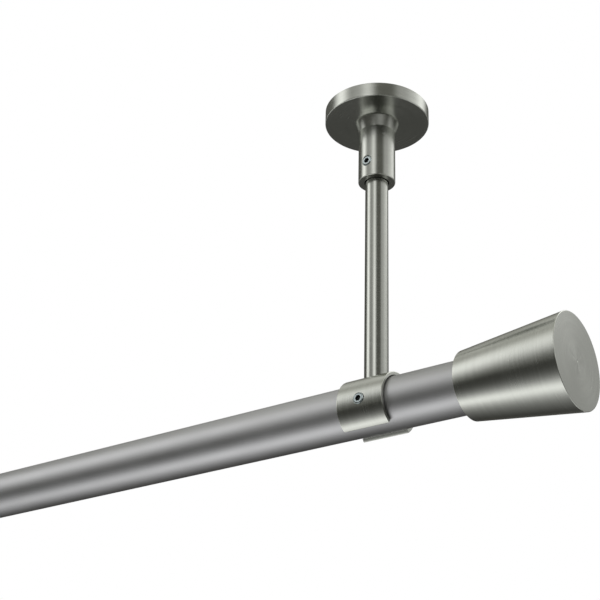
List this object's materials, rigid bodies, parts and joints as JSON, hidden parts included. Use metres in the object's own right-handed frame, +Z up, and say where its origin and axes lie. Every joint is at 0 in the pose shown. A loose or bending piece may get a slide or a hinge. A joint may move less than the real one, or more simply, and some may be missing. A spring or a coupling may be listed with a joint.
{
  "type": "curtain rod",
  "caption": "Ceiling-hung curtain rod: a round pole in open rings on round stems, with flat ceiling roses and cone-shaped end finials, in satin stainless steel.",
  "frame": {"origin": "middle of the pole, on its axis", "axes": "+X along the pole to the right end, +Z up to the ceiling, -Y to the room"},
  "size_m": [1.254, 0.06, 0.2086],
  "materials": {
    "pole_steel": "satin, neutral grey",
    "fitting_steel": "finely brushed, warm grey",
    "zinc_steel": "bright zinc plated"
  },
  "bodies": {
    "ceiling_mounts": {"mounting_plate_right": "zinc_steel", "mounting_plate_left": "zinc_steel", "lock_nut_right": "zinc_steel", "lock_nut_left": "zinc_steel", "stud_right": "zinc_steel", "stud_left": "zinc_steel", "rose_right": "fitting_steel", "rose_left": "fitting_steel", "socket_right": "fitting_steel", "socket_left": "fitting_steel"},
    "hangers": {"stem_right": "fitting_steel", "stem_left": "fitting_steel", "ring_right": "fitting_steel", "ring_left": "fitting_steel"},
    "pole": {"pole": "pole_steel"},
    "finial_right": {"finial_right": "fitting_steel"},
    "finial_left": {"finial_left": "fitting_steel"},
    "socket_screw_right": {"socket_screw_right": "zinc_steel"},
    "ring_screw_right": {"ring_screw_right": "zinc_steel"},
    "finial_screw_right": {"finial_screw_right": "zinc_steel"},
    "socket_screw_left": {"socket_screw_left": "zinc_steel"},
    "ring_screw_left": {"ring_screw_left": "zinc_steel"},
    "finial_screw_left": {"finial_screw_left": "zinc_steel"}
  },
  "joints": [
    {"name": "height_adjust", "type": "slide", "parent": "ceiling_mounts", "child": "hangers", "axis": [0, 0, 1], "range_m": [-0.01, 0.006]},
    {"name": "pole_shift", "type": "slide", "parent": "hangers", "child": "pole", "axis": [1, 0, 0], "range_m": [-0.042, 0.042]},
    {"name": "finial_right_pull", "type": "slide", "parent": "pole", "child": "finial_right", "axis": [1, 0, 0], "range_m": [0, 0.035]},
    {"name": "finial_left_pull", "type": "slide", "parent": "pole", "child": "finial_left", "axis": [-1, 0, 0], "range_m": [0, 0.035]},
    {"name": "socket_screw_right_turn", "type": "hinge", "parent": "ceiling_mounts", "child": "socket_screw_right", "pos_m": [0.5135, -0.0105, 0.146], "axis": [0, -1, 0], "range_deg": [0, 720]},
    {"name": "ring_screw_right_turn", "type": "hinge", "parent": "hangers", "child": "ring_screw_right", "pos_m": [0.5135, -0.0165, 0], "axis": [0, -1, 0], "range_deg": [0, 720]},
    {"name": "finial_screw_right_turn", "type": "hinge", "parent": "finial_right", "child": "finial_screw_right", "pos_m": [0.5795, 0.019, 0], "axis": [0, 1, 0], "range_deg": [0, 720]},
    {"name": "socket_screw_left_turn", "type": "hinge", "parent": "ceiling_mounts", "child": "socket_screw_left", "pos_m": [-0.5135, -0.0105, 0.146], "axis": [0, -1, 0], "range_deg": [0, 720]},
    {"name": "ring_screw_left_turn", "type": "hinge", "parent": "hangers", "child": "ring_screw_left", "pos_m": [-0.5135, -0.0165, 0], "axis": [0, -1, 0], "range_deg": [0, 720]},
    {"name": "finial_screw_left_turn", "type": "hinge", "parent": "finial_left", "child": "finial_screw_left", "pos_m": [-0.5795, 0.019, 0], "axis": [0, 1, 0], "range_deg": [0, 720]}
  ]
}
